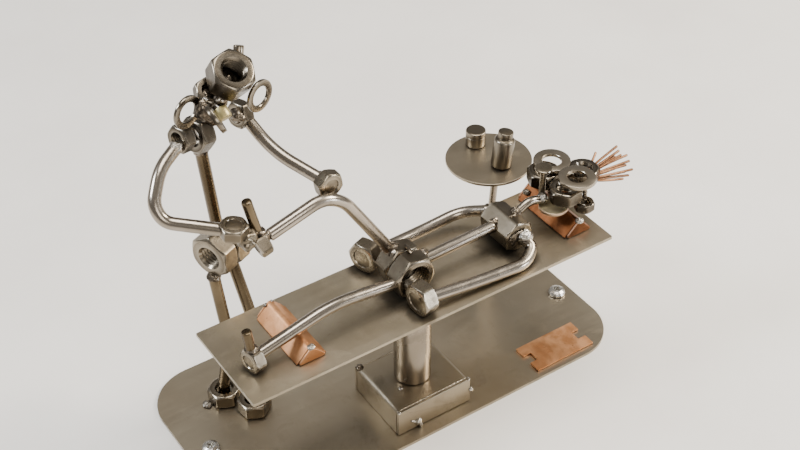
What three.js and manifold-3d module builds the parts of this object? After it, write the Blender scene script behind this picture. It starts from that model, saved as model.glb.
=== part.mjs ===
// Welded nut-and-rod sculpture: a therapist stands behind a treatment table and lifts the
// leg of a patient who lies on it. Millimetres, +Z up. The origin is the centre of the base
// plate's underside, X runs along the table towards the patient's head, and +Y is the back.
import * as THREE from 'three';
import { mergeVertices } from 'three/addons/utils/BufferGeometryUtils.js';
import Module from 'manifold-3d';

const wasm = await Module();
wasm.setup();

// ---------------------------------------------------------------- driving dimensions
const GAP = 0.3;                 // clearance between pieces that are welded together
const ROD = 5;                   // diameter of the limb rods
const BASE = { length: 198, depth: 92, thickness: 1.5, corner: 21.5 };
const PEDESTAL = { x: -2, y: -23, width: 37, depth: 34, height: 13.3, sheet: 1.5, bend: 2.4 };
const TUBE = { diameter: 16, wall: 1.5 };
const TABLE = { length: 173.5, depth: 46.2, thickness: 1.5, height: 64.8 };
const PLATE = { length: 31.5, depth: 16, thickness: 0.8, notchWidth: 5, notchDepth: 4 };
const SCREW = { head: 8, headHeight: 2.4, shank: 4, recess: 3.2, recessWidth: 0.9, recessDepth: 1.4 };
const COPPER = 0.8;              // copper sheet
const KNEE_ROLL = { x: -56.7, y: 0.8, width: 13.6, height: 6.9, length: 33 };
const PILLOW = { x: 75.7, y: 3, width: 14.5, height: 7.5, length: 34 };
const TRAY = { x: 68, y: 19.5, height: 72.8, diameter: 38.6, thickness: 1.2, stem: 3.4, lean: 4 };
const JAR = { diameter: 9, height: 7.6, x: 1.5, y: 12 };
const BOTTLE = { diameter: 9.2, height: 14, cap: 6.8, capHeight: 3, x: 1, y: -7.5, lean: 7 };
const NUT_M5 = { flats: 8, thickness: 4, bore: 4.2, mouth: 5.4 };
const NUT_M6 = { flats: 10, thickness: 5, bore: 5, mouth: 6.6 };
const NUT_M8 = { flats: 13, thickness: 6.5, bore: 6.7, mouth: 8.6 };
const NUT_M10 = { flats: 17, thickness: 8.2, bore: 8.5, mouth: 10.8 };
const NUT_HIP = { flats: 17, thickness: 8.2, bore: 10.6, mouth: 12.4 };
const NUT_HEAD = { flats: 15.4, thickness: 10, bore: 8.2, mouth: 10 };
const NUT_LONG = { ...NUT_M8, thickness: 18.5 };
const WASHER = { outer: 16, bore: 8.4, thickness: 1.6 };
const EYE_RING = { outer: 13, bore: 8, thickness: 1.2 };
const NAIL = { head: 7.6, headHeight: 1.1, shank: 2.8, length: 14 };
const TOE = 4;                   // diameter of a toe rod
const NECK_ROD = 3.8;
const HAIR_ROOT = 3;              // radius of the bead that holds the hair
const HAIR = 1;                   // diameter of a copper hair wire
const ROUND = 20;                // sides of a turned surface
const ROD_SIDES = 10;

const COLOURS = {
  steel: [0x6f685c, 0.38, 0.95], plate: [0x77705f, 0.45, 0.9], rod: [0x7a7064, 0.3, 1],
  copper: [0xb06a45, 0.4, 0.95], screw: [0x8d887c, 0.35, 1],
};

// ---------------------------------------------------------------- where the limbs run
// Points on the table count from the tube's axis at the table's top face.
const HIPS = [-3.5, 0.2];
const HIP_SPIN = 13;             // degrees that the hip nuts are rolled off a flat
const CHEST = [47.8, 0.8];
const CHEST_SPIN = 20;
const RAISED_LEG = [[-5, 6, 14], [-27.5, 6, 50.5], [-36.5, 6, 55.6], [-62.3, 6, 48]];
const RAISED_FOOT = [-63.5, 6, 47];
const STRAIGHT_LEG = [[-6, -5, 8.5], [-36, -5.2, 12.3], [-45, -5.6, 12.3], [-76, -7.2, 6.5]];
const STRAIGHT_FOOT = [-77.4, -7.2, NUT_M6.flats / 2 + GAP];
const NEAR_ARM = [[48, -7.5, 8], [51, -13.5, 5], [43.5, -19, 3], [22, -17.5, 3.4], [-2, -15.2, 4.6]];
const NEAR_HAND = [-6.4, -15.9, NUT_M8.flats / 2 + GAP];
const FAR_ARM = [[46, 11.5, 10], [38, 20, 6.8], [20, 20.5, 5], [-6, 18.5, 6]];
const FAR_HAND = [-10.4, 18.2, NUT_M8.flats / 2 + GAP];
const NECK = [[50, 1, 10.5], [60, 1.2, 15.2], [66, 0.8, 13.4]];
const HEAD = [74.3, 2.6, 0];
const HAIR_START = [96.8, -0.6, 16.6];
const HAIR_TIPS = [
  [13.2, 4.4, 5.3], [14.3, 4.0, 2.6], [17.1, 1.4, 0.6], [17.4, -0.2, -1.8],
  [16.5, -3.7, -4.0], [14.9, -3.3, -6.9], [11.0, -4.0, -6.8], [3.3, 7.2, 4.2],
  [13.8, 1.8, 1.8], [15.0, 0.4, -3.3], [13.6, -2.2, -1.3], [12.1, 3.7, 0.4],
  [13.9, -1.8, -5.4],
];
// Points on the therapist count from the tube's axis at the base plate's top face.
const RIGHT_FOOT = [-68.5, 43.7];
const LEFT_FOOT = [-61, 31];
const RIGHT_HIP = [-64.2, 46.8, 78.5];
const FACING = 24;               // degrees that the therapist turns towards the patient's head
const CHEST_NUT = [-67, 43.5, 140];
const RIGHT_SHOULDER = [-74.6, 41, 142.6];
const LEFT_SHOULDER = [-46, 49.5, 137.5];
const SHOULDER_LINE = [0.94, 0.3, -0.16];
const RIGHT_HAND = [-73.6, 6.5, TABLE.height + 57.4];
const RIGHT_ARM = [[-76, 39.5, 142], [-88, 33, 139], [-95.5, 25, 131],
  [-94, 21, RIGHT_HAND[2] + 2.8], [-74, 6.5, RIGHT_HAND[2] - 0.6]];
const LEFT_HAND = [-30.6, 11.7, TABLE.height + 56.5];
const LEFT_ARM = [[-66, 45, 139], [-45, 49, 137], [-41, 34, 127], [-31.4, 13, LEFT_HAND[2] + 0.7]];
const HEAD_NUT = [-54.6, 36.9, 164.8];
const HEAD_AXIS = [0.06, -0.6, 0.8];
const CHEEK_NUT = [-61.9, 41.4, 157.6];
const FACE = [0.33, -0.94, -0.04];

// ---------------------------------------------------------------- helpers
const vec = (p) => new THREE.Vector3(...p);
const at = (p, dx, dy, dz) => [p[0] + dx, p[1] + dy, p[2] + dz];
const circle = (radius, sides = ROUND) => new THREE.Shape(
  Array.from({ length: sides }, (_, i) => new THREE.Vector2(
    radius * Math.cos((2 * Math.PI * i) / sides), radius * Math.sin((2 * Math.PI * i) / sides))));

function material(finish) {
  const [color, roughness, metalness] = COLOURS[finish];
  return new THREE.MeshStandardMaterial({ color, roughness, metalness });
}

function solid(geometry) {
  const plain = geometry.index ? geometry.toNonIndexed() : geometry.clone();
  plain.deleteAttribute('normal');
  plain.deleteAttribute('uv');
  const merged = mergeVertices(plain, 1e-4);
  return new wasm.Manifold(new wasm.Mesh({
    numProp: 3,
    vertProperties: new Float32Array(merged.attributes.position.array),
    triVerts: new Uint32Array(merged.index.array),
  }));
}

function surface(body) {
  const mesh = body.getMesh();
  const geometry = new THREE.BufferGeometry();
  geometry.setAttribute('position', new THREE.BufferAttribute(mesh.vertProperties, 3));
  geometry.setIndex(new THREE.BufferAttribute(mesh.triVerts, 1));
  return geometry;
}

const cut = (geometry, ...tools) => surface(tools.reduce((a, t) => a.subtract(solid(t)), solid(geometry)));
const join = (geometry, ...others) => surface(others.reduce((a, t) => a.add(solid(t)), solid(geometry)));

function piece(parent, name, geometry, finish, position = [0, 0, 0]) {
  const mesh = new THREE.Mesh(geometry, material(finish));
  mesh.name = name;
  mesh.position.set(...position);
  parent.add(mesh);
  return mesh;
}

// Turns a piece so that its own Z axis points along a direction, then spins it on that axis.
function aim(mesh, direction, spin = 0) {
  const z = vec(direction).normalize();
  const x = new THREE.Vector3(0, 0, 1).cross(z);
  if (x.length() < 1e-6) x.set(1, 0, 0);
  x.normalize();
  const y = z.clone().cross(x);
  mesh.quaternion.setFromRotationMatrix(new THREE.Matrix4().makeBasis(x, y, z));
  mesh.rotateZ(THREE.MathUtils.degToRad(spin));
  return mesh;
}

function turned(profile, sides = ROUND) {
  return new THREE.LatheGeometry(profile.map(([r, z]) => new THREE.Vector2(r, z)), sides)
    .rotateX(Math.PI / 2);
}

function disc(diameter, thickness, sides = ROUND) {
  return new THREE.CylinderGeometry(diameter / 2, diameter / 2, thickness, sides).rotateX(Math.PI / 2);
}

function hexBar(flats, thickness) {
  const corner = flats / Math.sqrt(3);
  return new THREE.CylinderGeometry(corner, corner, thickness, 6).rotateX(Math.PI / 2)
    .rotateZ(Math.PI / 6);
}

// Height of a nut's centre when it stands on edge, turned by an angle from lying on a flat.
const edgeHeight = (size, spin) => GAP
  + (size.flats / Math.sqrt(3)) * Math.cos(THREE.MathUtils.degToRad(30 - spin));

// A nut lies centred on its own Z axis, with turned chamfers and a countersunk bore.
function nutShape({ flats, thickness, bore, mouth }) {
  const corner = flats / Math.sqrt(3);
  const drop = (corner - flats / 2) * Math.tan(Math.PI / 6);
  const half = thickness / 2;
  const sink = (mouth - bore) / 2;
  const outside = turned([[0, -half], [flats / 2 - 0.2, -half], [corner, drop - half],
    [corner, half - drop], [flats / 2 - 0.2, half], [0, half]]);
  const inside = turned([[0, -half - 1], [mouth / 2 + 1, -half - 1], [bore / 2, sink - half],
    [bore / 2, half - sink], [mouth / 2 + 1, half + 1], [0, half + 1]]);
  return surface(solid(hexBar(flats, thickness)).intersect(solid(outside)).subtract(solid(inside)));
}

const lens = ({ outer, bore, thickness }) => cut(disc(outer, thickness, 32), disc(bore, 2 * thickness, 24));

function nut(parent, name, size, position, direction, spin = 0) {
  const mesh = aim(piece(parent, name, nutShape(size), 'steel', position), direction, spin);
  mesh.userData.keepOut = () => hexBar(size.flats + 2 * GAP, size.thickness + 2 * GAP);
  return mesh;
}

// A line through the points with each corner rounded off.
function route(points, bend) {
  const p = points.map(vec);
  const path = new THREE.CurvePath();
  let from = p[0];
  for (let i = 1; i < p.length - 1; i += 1) {
    const back = p[i - 1].clone().sub(p[i]);
    const ahead = p[i + 1].clone().sub(p[i]);
    const reach = Math.min(bend, back.length() / 2, ahead.length() / 2);
    const start = p[i].clone().addScaledVector(back.normalize(), reach);
    const end = p[i].clone().addScaledVector(ahead.normalize(), reach);
    path.add(new THREE.LineCurve3(from, start));
    path.add(new THREE.QuadraticBezierCurve3(start, p[i], end));
    from = end;
  }
  path.add(new THREE.LineCurve3(from, p[p.length - 1]));
  return path;
}

function rodShape(points, diameter, bend, sides = ROD_SIDES) {
  const path = route(points, bend);
  const steps = points.length > 2 ? Math.ceil(path.getLength() / 3.2) : 1;
  return new THREE.ExtrudeGeometry(circle(diameter / 2, sides), { steps, extrudePath: path });
}

function rod(parent, name, points, diameter = ROD, bend = 9) {
  const mesh = piece(parent, name, rodShape(points, diameter, bend), 'rod');
  mesh.userData.keepOut = () => rodShape(points, diameter + 2 * GAP, bend);
  return mesh;
}

// Cuts a piece back until it keeps the gap to each neighbour.
function carve(mesh, ...neighbours) {
  group.updateMatrixWorld(true);
  const inverse = mesh.matrixWorld.clone().invert();
  const tools = neighbours.map((other) => other.userData.keepOut()
    .applyMatrix4(inverse.clone().multiply(other.matrixWorld)));
  const parts = tools.reduce((a, t) => a.subtract(solid(t)), solid(mesh.geometry)).decompose();
  mesh.geometry = surface(parts.reduce((a, b) => (a.volume() > b.volume() ? a : b)));
}

// ---------------------------------------------------------------- the stand
const group = new THREE.Group();
const floor = BASE.thickness;
const pillar = [PEDESTAL.x, PEDESTAL.y];

function roundedPlate(length, depth, thickness, corner) {
  const x = length / 2 - corner;
  const y = depth / 2 - corner;
  const shape = new THREE.Shape();
  shape.absarc(x, y, corner, 0, Math.PI / 2);
  shape.absarc(-x, y, corner, Math.PI / 2, Math.PI);
  shape.absarc(-x, -y, corner, Math.PI, 1.5 * Math.PI);
  shape.absarc(x, -y, corner, 1.5 * Math.PI, 2 * Math.PI);
  return new THREE.ExtrudeGeometry(shape, { depth: thickness, bevelEnabled: false, curveSegments: 12 });
}

const screwPlaces = { left: [-89.5, -2], right: [91.6, -6.9] };

function basePlate() {
  const holes = Object.values(screwPlaces).map(([x, y]) => disc(SCREW.shank + 2 * GAP, 10)
    .translate(x, y, 0));
  piece(group, 'base_plate', cut(roundedPlate(BASE.length, BASE.depth, floor, BASE.corner), ...holes),
    'plate');
}

// A pan-head screw with a cross recess; its shank ends flush inside the plate.
function baseScrew(side) {
  const [x, y] = screwPlaces[side];
  const r = SCREW.head / 2;
  const under = floor + GAP;
  const top = under + SCREW.headHeight;
  const body = turned([[0, GAP], [SCREW.shank / 2, GAP], [SCREW.shank / 2, under], [r, under],
    [r, under + 0.35 * SCREW.headHeight], [0.86 * r, under + 0.75 * SCREW.headHeight],
    [0.55 * r, top], [0, top]]);
  const bar = (w, d) => new THREE.BoxGeometry(w, d, 2 * SCREW.recessDepth).translate(0, 0, top);
  const cross = join(bar(SCREW.recess, SCREW.recessWidth), bar(SCREW.recessWidth, SCREW.recess));
  piece(group, `base_screw_${side}`, cut(body, cross), 'screw', [x, y, 0]).rotateZ(0.5);
}

function namePlate() {
  const [l, d, w, n] = [PLATE.length / 2, PLATE.depth / 2, PLATE.notchWidth / 2, PLATE.notchDepth];
  const outline = [[-l, -d], [l, -d], [l, -w], [l - n, -w], [l - n, w], [l, w], [l, d],
    [-l, d], [-l, w], [n - l, w], [n - l, -w], [-l, -w]];
  const shape = new THREE.Shape(outline.map(([x, y]) => new THREE.Vector2(x, y)));
  piece(group, 'name_plate', new THREE.ExtrudeGeometry(shape, { depth: PLATE.thickness,
    bevelEnabled: false }), 'copper', [67.7, -35, floor + GAP]);
}

// The pedestal is a folded channel, closed by a plate at the front and one at the back.
function pedestal() {
  const { x, y, width, depth, height, sheet, bend } = PEDESTAL;
  const h = height - GAP;
  const outline = (inset) => {
    const half = width / 2 - inset;
    const r = bend - inset;
    const shape = new THREE.Shape();
    shape.moveTo(-half, 0);
    shape.lineTo(half, 0);
    shape.absarc(half - r, h - inset - r, r, 0, Math.PI / 2);
    shape.absarc(r - half, h - inset - r, r, Math.PI / 2, Math.PI);
    return shape;
  };
  const extrude = (inset, long) => new THREE.ExtrudeGeometry(outline(inset),
    { depth: long, bevelEnabled: false, curveSegments: 5 })
    .rotateX(Math.PI / 2).translate(0, long / 2, 0);
  const long = depth - 2 * (sheet + GAP);
  const place = [x, y, floor + GAP];
  piece(group, 'pedestal_channel', cut(extrude(0, long), extrude(sheet, long + 2).translate(0, 0, -0.01)),
    'plate', place);
  const end = () => new THREE.BoxGeometry(width, sheet, h).translate(0, 0, h / 2);
  piece(group, 'pedestal_front_plate', end(), 'plate', at(place, 0, (sheet - depth) / 2, 0));
  piece(group, 'pedestal_back_plate', end(), 'plate', at(place, 0, (depth - sheet) / 2, 0));
  const from = floor + height + GAP;
  const to = floor + TABLE.height - TABLE.thickness - GAP;
  const ring = circle(TUBE.diameter / 2, 32);
  ring.holes.push(circle(TUBE.diameter / 2 - TUBE.wall, 32));
  piece(group, 'pedestal_tube', new THREE.ExtrudeGeometry(ring, { depth: to - from,
    bevelEnabled: false }), 'rod', [x, y, from]);
}

// A sheet folded to a ridge with a gable at each end, open below.
function ridge(name, { x, y, width, height, length }) {
  const slope = Math.atan2(height, width / 2);
  const side = COPPER / Math.sin(slope);
  const tip = COPPER / Math.cos(slope);
  const w = width / 2;
  const roof = new THREE.Shape([[-w, 0], [side - w, 0], [0, height - tip], [w - side, 0], [w, 0],
    [0, height]].map(([a, b]) => new THREE.Vector2(a, b)));
  const gable = new THREE.Shape([[-w, 0], [w, 0], [0, height]].map(([a, b]) => new THREE.Vector2(a, b)));
  const run = (shape, long, from) => new THREE.ExtrudeGeometry(shape, { depth: long,
    bevelEnabled: false }).rotateX(Math.PI / 2).translate(0, from + long, 0);
  const start = -length / 2;
  piece(table, name, join(run(roof, length, start), run(gable, COPPER, start),
    run(gable, COPPER, length / 2 - COPPER)), 'copper', [x, y, GAP]);
}

function tray() {
  const { x, y, height, diameter, thickness, stem, lean } = TRAY;
  const long = height - thickness - 2 * GAP;
  const slant = THREE.MathUtils.degToRad(lean);
  piece(group, 'tray_stem', disc(stem, long / Math.cos(slant) - GAP, 16), 'rod',
    [x + (long / 2) * Math.tan(slant), y, floor + GAP + long / 2]).rotateY(-slant);
  const top = floor + height;
  const middle = [x, y, top - thickness / 2];
  piece(group, 'tray_disc', disc(diameter, thickness, 48), 'plate', middle);
  piece(group, 'balm_jar', disc(JAR.diameter, JAR.height), 'steel',
    [x + JAR.x, y + JAR.y, top + GAP + JAR.height / 2]);
  const r = BOTTLE.diameter / 2;
  const shoulder = BOTTLE.height - 1;
  const bottle = turned([[0, 0], [r, 0], [r, shoulder], [BOTTLE.cap / 2 - 0.3, BOTTLE.height],
    [BOTTLE.cap / 2, BOTTLE.height + 0.4], [BOTTLE.cap / 2, BOTTLE.height + BOTTLE.capHeight],
    [0, BOTTLE.height + BOTTLE.capHeight]]);
  const tilt = THREE.MathUtils.degToRad(BOTTLE.lean);
  piece(group, 'oil_bottle', bottle, 'rod', [x + BOTTLE.x, y + BOTTLE.y, top + GAP + r * Math.sin(tilt)])
    .rotateY(tilt);
}

basePlate();
baseScrew('left');
baseScrew('right');
namePlate();
pedestal();
tray();

// ---------------------------------------------------------------- the table
const table = new THREE.Group();
table.position.set(...pillar, floor + TABLE.height);
group.add(table);
piece(table, 'table_top', new THREE.BoxGeometry(TABLE.length, TABLE.depth, TABLE.thickness),
  'plate', [0, 0, -TABLE.thickness / 2]);
ridge('knee_roll', KNEE_ROLL);
ridge('pillow', PILLOW);

// ---------------------------------------------------------------- the patient
const ACROSS = [0, 1, 0];
const pair = (size) => size.thickness / 2 + GAP / 2;

function patient() {
  const hip = [...HIPS, edgeHeight(NUT_HIP, HIP_SPIN)];
  const hips = ['near', 'far'].map((side, i) => nut(table, `patient_hip_nut_${side}`, NUT_HIP,
    at(hip, 0, (2 * i - 1) * pair(NUT_HIP), 0), ACROSS, HIP_SPIN));
  const bust = [...CHEST, edgeHeight(NUT_LONG, CHEST_SPIN)];
  const chest = [nut(table, 'patient_chest_nut', NUT_LONG, bust, ACROSS, CHEST_SPIN)];
  const torso = rod(table, 'patient_torso_rod', [at(hip, 0, 0, -0.5), at(bust, 0, 0, 3)]);
  carve(torso, ...hips, ...chest);

  const nearHand = nut(table, 'patient_near_hand_nut', NUT_M8, NEAR_HAND, [1, 0.1, 0]);
  const nearArm = rod(table, 'patient_near_arm', NEAR_ARM);
  carve(nearArm, nearHand, ...chest);
  const farHand = nut(table, 'patient_far_hand_nut', NUT_M8, FAR_HAND, [1, 0.35, 0]);
  const farArm = rod(table, 'patient_far_arm', FAR_ARM);
  carve(farArm, farHand, ...chest);

  const straightFoot = nut(table, 'patient_straight_foot_nut', NUT_M6, STRAIGHT_FOOT, [1, 0.2, 0]);
  const straightLeg = rod(table, 'patient_straight_leg', STRAIGHT_LEG);
  carve(straightLeg, straightFoot, ...hips);
  const raisedFoot = nut(table, 'patient_raised_foot_nut', NUT_M6, RAISED_FOOT, [1, 0, 0.3]);
  const raisedLeg = rod(table, 'patient_raised_leg', RAISED_LEG);
  carve(raisedLeg, raisedFoot, ...hips);
  const toes = (name, from, lean, foot) => carve(rod(table, name,
    [from, at(from, ...lean)], TOE), foot);
  toes('patient_straight_toe_rod', STRAIGHT_FOOT, [-1.4, 1, 14.5], straightFoot);
  toes('patient_raised_toe_rod', RAISED_FOOT, [-4, 1, 20.5], raisedFoot);
  return chest;
}

function patientHead(chest) {
  const cheeks = ['near', 'far'].map((side, i) => nut(table, `patient_cheek_nut_${side}`, NUT_M8,
    at(HEAD, 0, (2 * i - 1) * 7.2, 17), [0, 0, 1], 7));
  ['near', 'far'].forEach((side, i) => piece(table, `patient_lens_${side}`, lens(WASHER), 'plate',
    at(HEAD, 4.8, (2 * i - 1) * (WASHER.outer / 2 + GAP) - 0.3, 22 + 1.5 * (1 - i))));
  const nail = turned([[0, 0], [NAIL.shank / 2, 0], [NAIL.shank / 2, NAIL.length - NAIL.headHeight],
    [NAIL.head / 2, NAIL.length - NAIL.headHeight * 0.7], [NAIL.head / 2, NAIL.length], [0, NAIL.length]]);
  piece(table, 'patient_nose_nail', nail, 'steel', at(HEAD, -6, 0.6, 14));
  piece(table, 'patient_jaw_disc', disc(12.5, 1.5), 'plate', at(HEAD, -4.5, -5.7, 10.6));
  nut(table, 'patient_temple_nut', NUT_M5, at(HEAD, 6.9, -12.2, 10.6), [0, 0, 1], 7);
  nut(table, 'patient_crown_nut', NUT_M8, at(HEAD, 14.4, -1.5, 17.5), [0, 0, 1], 30);
  const wires = HAIR_TIPS.map((tip) => rodShape([tip.map((d) => d * 0.05), tip], HAIR, 0, 6));
  const root = new THREE.IcosahedronGeometry(HAIR_ROOT, 1).scale(0.4, 1.1, 1);
  piece(table, 'patient_hair_tuft', join(root, ...wires), 'copper', HAIR_START);
  const neck = rod(table, 'patient_neck_rod', NECK, NECK_ROD, 4);
  carve(neck, ...chest, ...cheeks);
}

patientHead(patient());

// ---------------------------------------------------------------- the therapist
const therapist = new THREE.Group();
therapist.position.set(...pillar, floor);
group.add(therapist);
const SIDEWAYS = [Math.cos(THREE.MathUtils.degToRad(FACING)), Math.sin(THREE.MathUtils.degToRad(FACING)), 0];
const along = (p, distance) => at(p, ...SIDEWAYS.map((d) => d * distance));

function therapistBody() {
  const rest = NUT_M8.thickness / 2 + GAP;
  const hips = ['right', 'left'].map((side, i) => nut(therapist, `therapist_hip_nut_${side}`, NUT_M10,
    along(RIGHT_HIP, i * (NUT_M10.thickness + GAP)), SIDEWAYS, 30));
  const foot = (side, place) => nut(therapist, `therapist_foot_nut_${side}`, NUT_M8,
    [...place, rest], [0, 0, 1], 35);
  foot('right', RIGHT_FOOT);
  foot('left', LEFT_FOOT);
  const leg = (side, place, ...points) => carve(rod(therapist, `therapist_leg_${side}`,
    [[...place, GAP], [...place, NUT_M8.thickness + 2], ...points]), ...hips);
  leg('right', RIGHT_FOOT, [-66.5, 37, 39], [-66.8, 45, 70]);
  leg('left', LEFT_FOOT, [-54, 37, 38], [-54.5, 42, 50], [-56.5, 50, 72]);
  return hips;
}

function therapistChest(hips) {
  const mid = along(RIGHT_HIP, (NUT_M10.thickness + GAP) / 2);
  const chest = nut(therapist, 'therapist_chest_nut', NUT_M8, CHEST_NUT, SHOULDER_LINE, 0);
  const right = nut(therapist, 'therapist_shoulder_nut_right', NUT_M6, RIGHT_SHOULDER, SHOULDER_LINE, 0);
  const left = nut(therapist, 'therapist_shoulder_nut_left', NUT_M6, LEFT_SHOULDER, SHOULDER_LINE, 0);
  const torso = rod(therapist, 'therapist_torso_rod', [mid, CHEST_NUT]);
  carve(torso, ...hips, chest, right);
  return [chest, right, left, torso];
}

function therapistArms(trunk) {
  const rightHand = nut(therapist, 'therapist_hand_nut_right', NUT_M6, RIGHT_HAND, [0.05, -0.1, 1], 0);
  const leftHand = nut(therapist, 'therapist_hand_nut_left', NUT_M6, LEFT_HAND, [0, 1, 0], 20);
  carve(rod(therapist, 'therapist_arm_right', RIGHT_ARM), ...trunk, rightHand);
  carve(rod(therapist, 'therapist_arm_left', LEFT_ARM), ...trunk, leftHand);
}

function therapistHead() {
  nut(therapist, 'therapist_head_nut', NUT_HEAD, HEAD_NUT, HEAD_AXIS, 10);
  nut(therapist, 'therapist_cheek_nut', NUT_M6, CHEEK_NUT, HEAD_AXIS, 10);
  const eye = (side, place) => aim(piece(therapist, `therapist_lens_${side}`, lens(EYE_RING), 'plate', place),
    FACE);
  eye('left', [-44.7, 34.6, 153.5]);
  eye('right', [-73, 37, 155.8]);
  aim(piece(therapist, 'therapist_nose_pin', disc(5.6, 4.6, 16), 'copper', [-61.2, 32.8, 153]),
    [0.1, -0.75, -0.6]);
  aim(piece(therapist, 'therapist_jaw_disc', disc(11.5, 1.8, 24), 'plate', [-67.4, 25.3, 157.3]),
    [0.88, -0.16, 0.44]);
  aim(piece(therapist, 'therapist_top_stub', disc(TOE, 5, 12), 'rod', [-47, 44.2, 168.2]),
    [0.3, 0.3, 0.9]);
}

therapistArms(therapistChest(therapistBody()));
therapistHead();

export default group;
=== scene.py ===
import math

import bpy
import bmesh
from mathutils import Matrix, Vector, noise


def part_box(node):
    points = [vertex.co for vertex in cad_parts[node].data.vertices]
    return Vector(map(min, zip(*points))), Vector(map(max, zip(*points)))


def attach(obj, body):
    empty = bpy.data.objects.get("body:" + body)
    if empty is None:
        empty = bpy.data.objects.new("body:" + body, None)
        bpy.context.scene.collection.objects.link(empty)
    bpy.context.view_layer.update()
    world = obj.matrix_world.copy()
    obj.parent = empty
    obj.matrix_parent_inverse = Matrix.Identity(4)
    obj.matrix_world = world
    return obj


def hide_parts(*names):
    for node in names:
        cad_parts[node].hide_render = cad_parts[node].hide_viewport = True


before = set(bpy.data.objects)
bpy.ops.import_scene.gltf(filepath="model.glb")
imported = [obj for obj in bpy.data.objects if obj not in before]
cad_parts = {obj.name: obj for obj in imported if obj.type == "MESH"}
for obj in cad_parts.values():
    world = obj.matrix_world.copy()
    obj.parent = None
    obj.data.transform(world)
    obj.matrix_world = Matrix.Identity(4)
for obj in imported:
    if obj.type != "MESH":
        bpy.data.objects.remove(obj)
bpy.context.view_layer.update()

MM = 0.001
UP = Vector((0, 0, 1))


# ---------------------------------------------------------------- finishes
class Value:
    """A shader socket that Python arithmetic works on."""

    def __init__(self, finish, socket):
        self.finish, self.socket = finish, socket

    def maths(self, operation, *values):
        return self.finish.node("ShaderNodeMath", {"operation": operation}, dict(enumerate(values)))

    def __add__(self, other): return self.maths("ADD", self, other)
    def __radd__(self, other): return self.maths("ADD", other, self)
    def __sub__(self, other): return self.maths("SUBTRACT", self, other)
    def __rsub__(self, other): return self.maths("SUBTRACT", other, self)
    def __mul__(self, other): return self.maths("MULTIPLY", self, other)
    def __rmul__(self, other): return self.maths("MULTIPLY", other, self)

    def between(self, low, high):
        """0 below low, 1 above high and a smooth step from one to the other."""
        inputs = {"Value": self, "From Min": low, "From Max": high}
        return self.finish.node("ShaderNodeMapRange", {"interpolation_type": "SMOOTHSTEP"}, inputs)


class Finish:
    """One material and the nodes that make it."""

    def __init__(self, name):
        self.material = bpy.data.materials.new(name)
        self.material.use_nodes = True
        self.tree = self.material.node_tree
        self.tree.nodes.clear()
        self.place = self.node("ShaderNodeTexCoord", out="Object")

    def node(self, kind, settings=None, inputs=None, out=0):
        made = self.tree.nodes.new(kind)
        for key, value in (settings or {}).items():
            setattr(made, key, value)
        for key, value in (inputs or {}).items():
            socket = made.inputs[key]
            if isinstance(value, Value):
                self.tree.links.new(value.socket, socket)
            elif hasattr(value, "__len__") and socket.type == "RGBA" and len(value) == 3:
                socket.default_value = (*value, 1)
            else:
                socket.default_value = value
        return Value(self, made.outputs[out]) if made.outputs else made

    def stretched(self, x, y, z):
        return self.node("ShaderNodeMapping", None, {"Vector": self.place, "Scale": (x, y, z)})

    def noise(self, scale, detail=3.0, rough=0.55, place=None, distortion=0.0):
        inputs = {"Vector": place or self.place, "Scale": scale, "Detail": detail,
                  "Roughness": rough, "Distortion": distortion}
        return self.node("ShaderNodeTexNoise", {"noise_dimensions": "3D"}, inputs)

    def painted(self, name):
        """A number that the mesh carries at each vertex."""
        return self.node("ShaderNodeAttribute", {"attribute_name": name}, None, out="Fac")

    def near(self, marks):
        """1 at any of the marks, a (point, reach) pair each, falling to 0 at its reach."""
        total = None
        for point, reach in marks:
            far = self.node("ShaderNodeVectorMath", {"operation": "DISTANCE"}, {0: self.place, 1: point},
                            out="Value")
            share = 1.0 - far.between(0.25 * reach, reach)
            total = share if total is None else total.maths("MAXIMUM", total, share)
        return total

    def mix(self, share, first, second):
        inputs = {"Factor": share, 6: first, 7: second}
        return self.node("ShaderNodeMix", {"data_type": "RGBA"}, inputs, out=2)

    def bump(self, height, distance, strength=1.0, under=None):
        inputs = {"Height": height, "Distance": distance, "Strength": strength}
        if under:
            inputs["Normal"] = under
        return self.node("ShaderNodeBump", None, inputs)

    def shade(self, colour, roughness, metallic, normal):
        inputs = {"Base Color": colour, "Roughness": roughness, "Metallic": metallic,
                  "Normal": normal}
        shader = self.node("ShaderNodeBsdfPrincipled", None, inputs)
        self.node("ShaderNodeOutputMaterial", None, {"Surface": shader})
        return self.material


# The third colour is the blackening: burnt steel by the welds, and painted shade deep in nut bores and on the
# table top's sides.
SMUT, HEAT_BROWN, BURNT_AND_SHADE_BLACK = (0.085, 0.066, 0.045), (0.17, 0.108, 0.055), (0.022, 0.018, 0.015)
# The last colour here darkens the marks on the table: sooty spatter, and painted shade under the parts welded onto
# it.
WORN_STEEL, OLIVE_STAIN, SOOT_AND_SHADE = (0.55, 0.49, 0.40), (0.42, 0.38, 0.20), (0.055, 0.045, 0.032)


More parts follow.
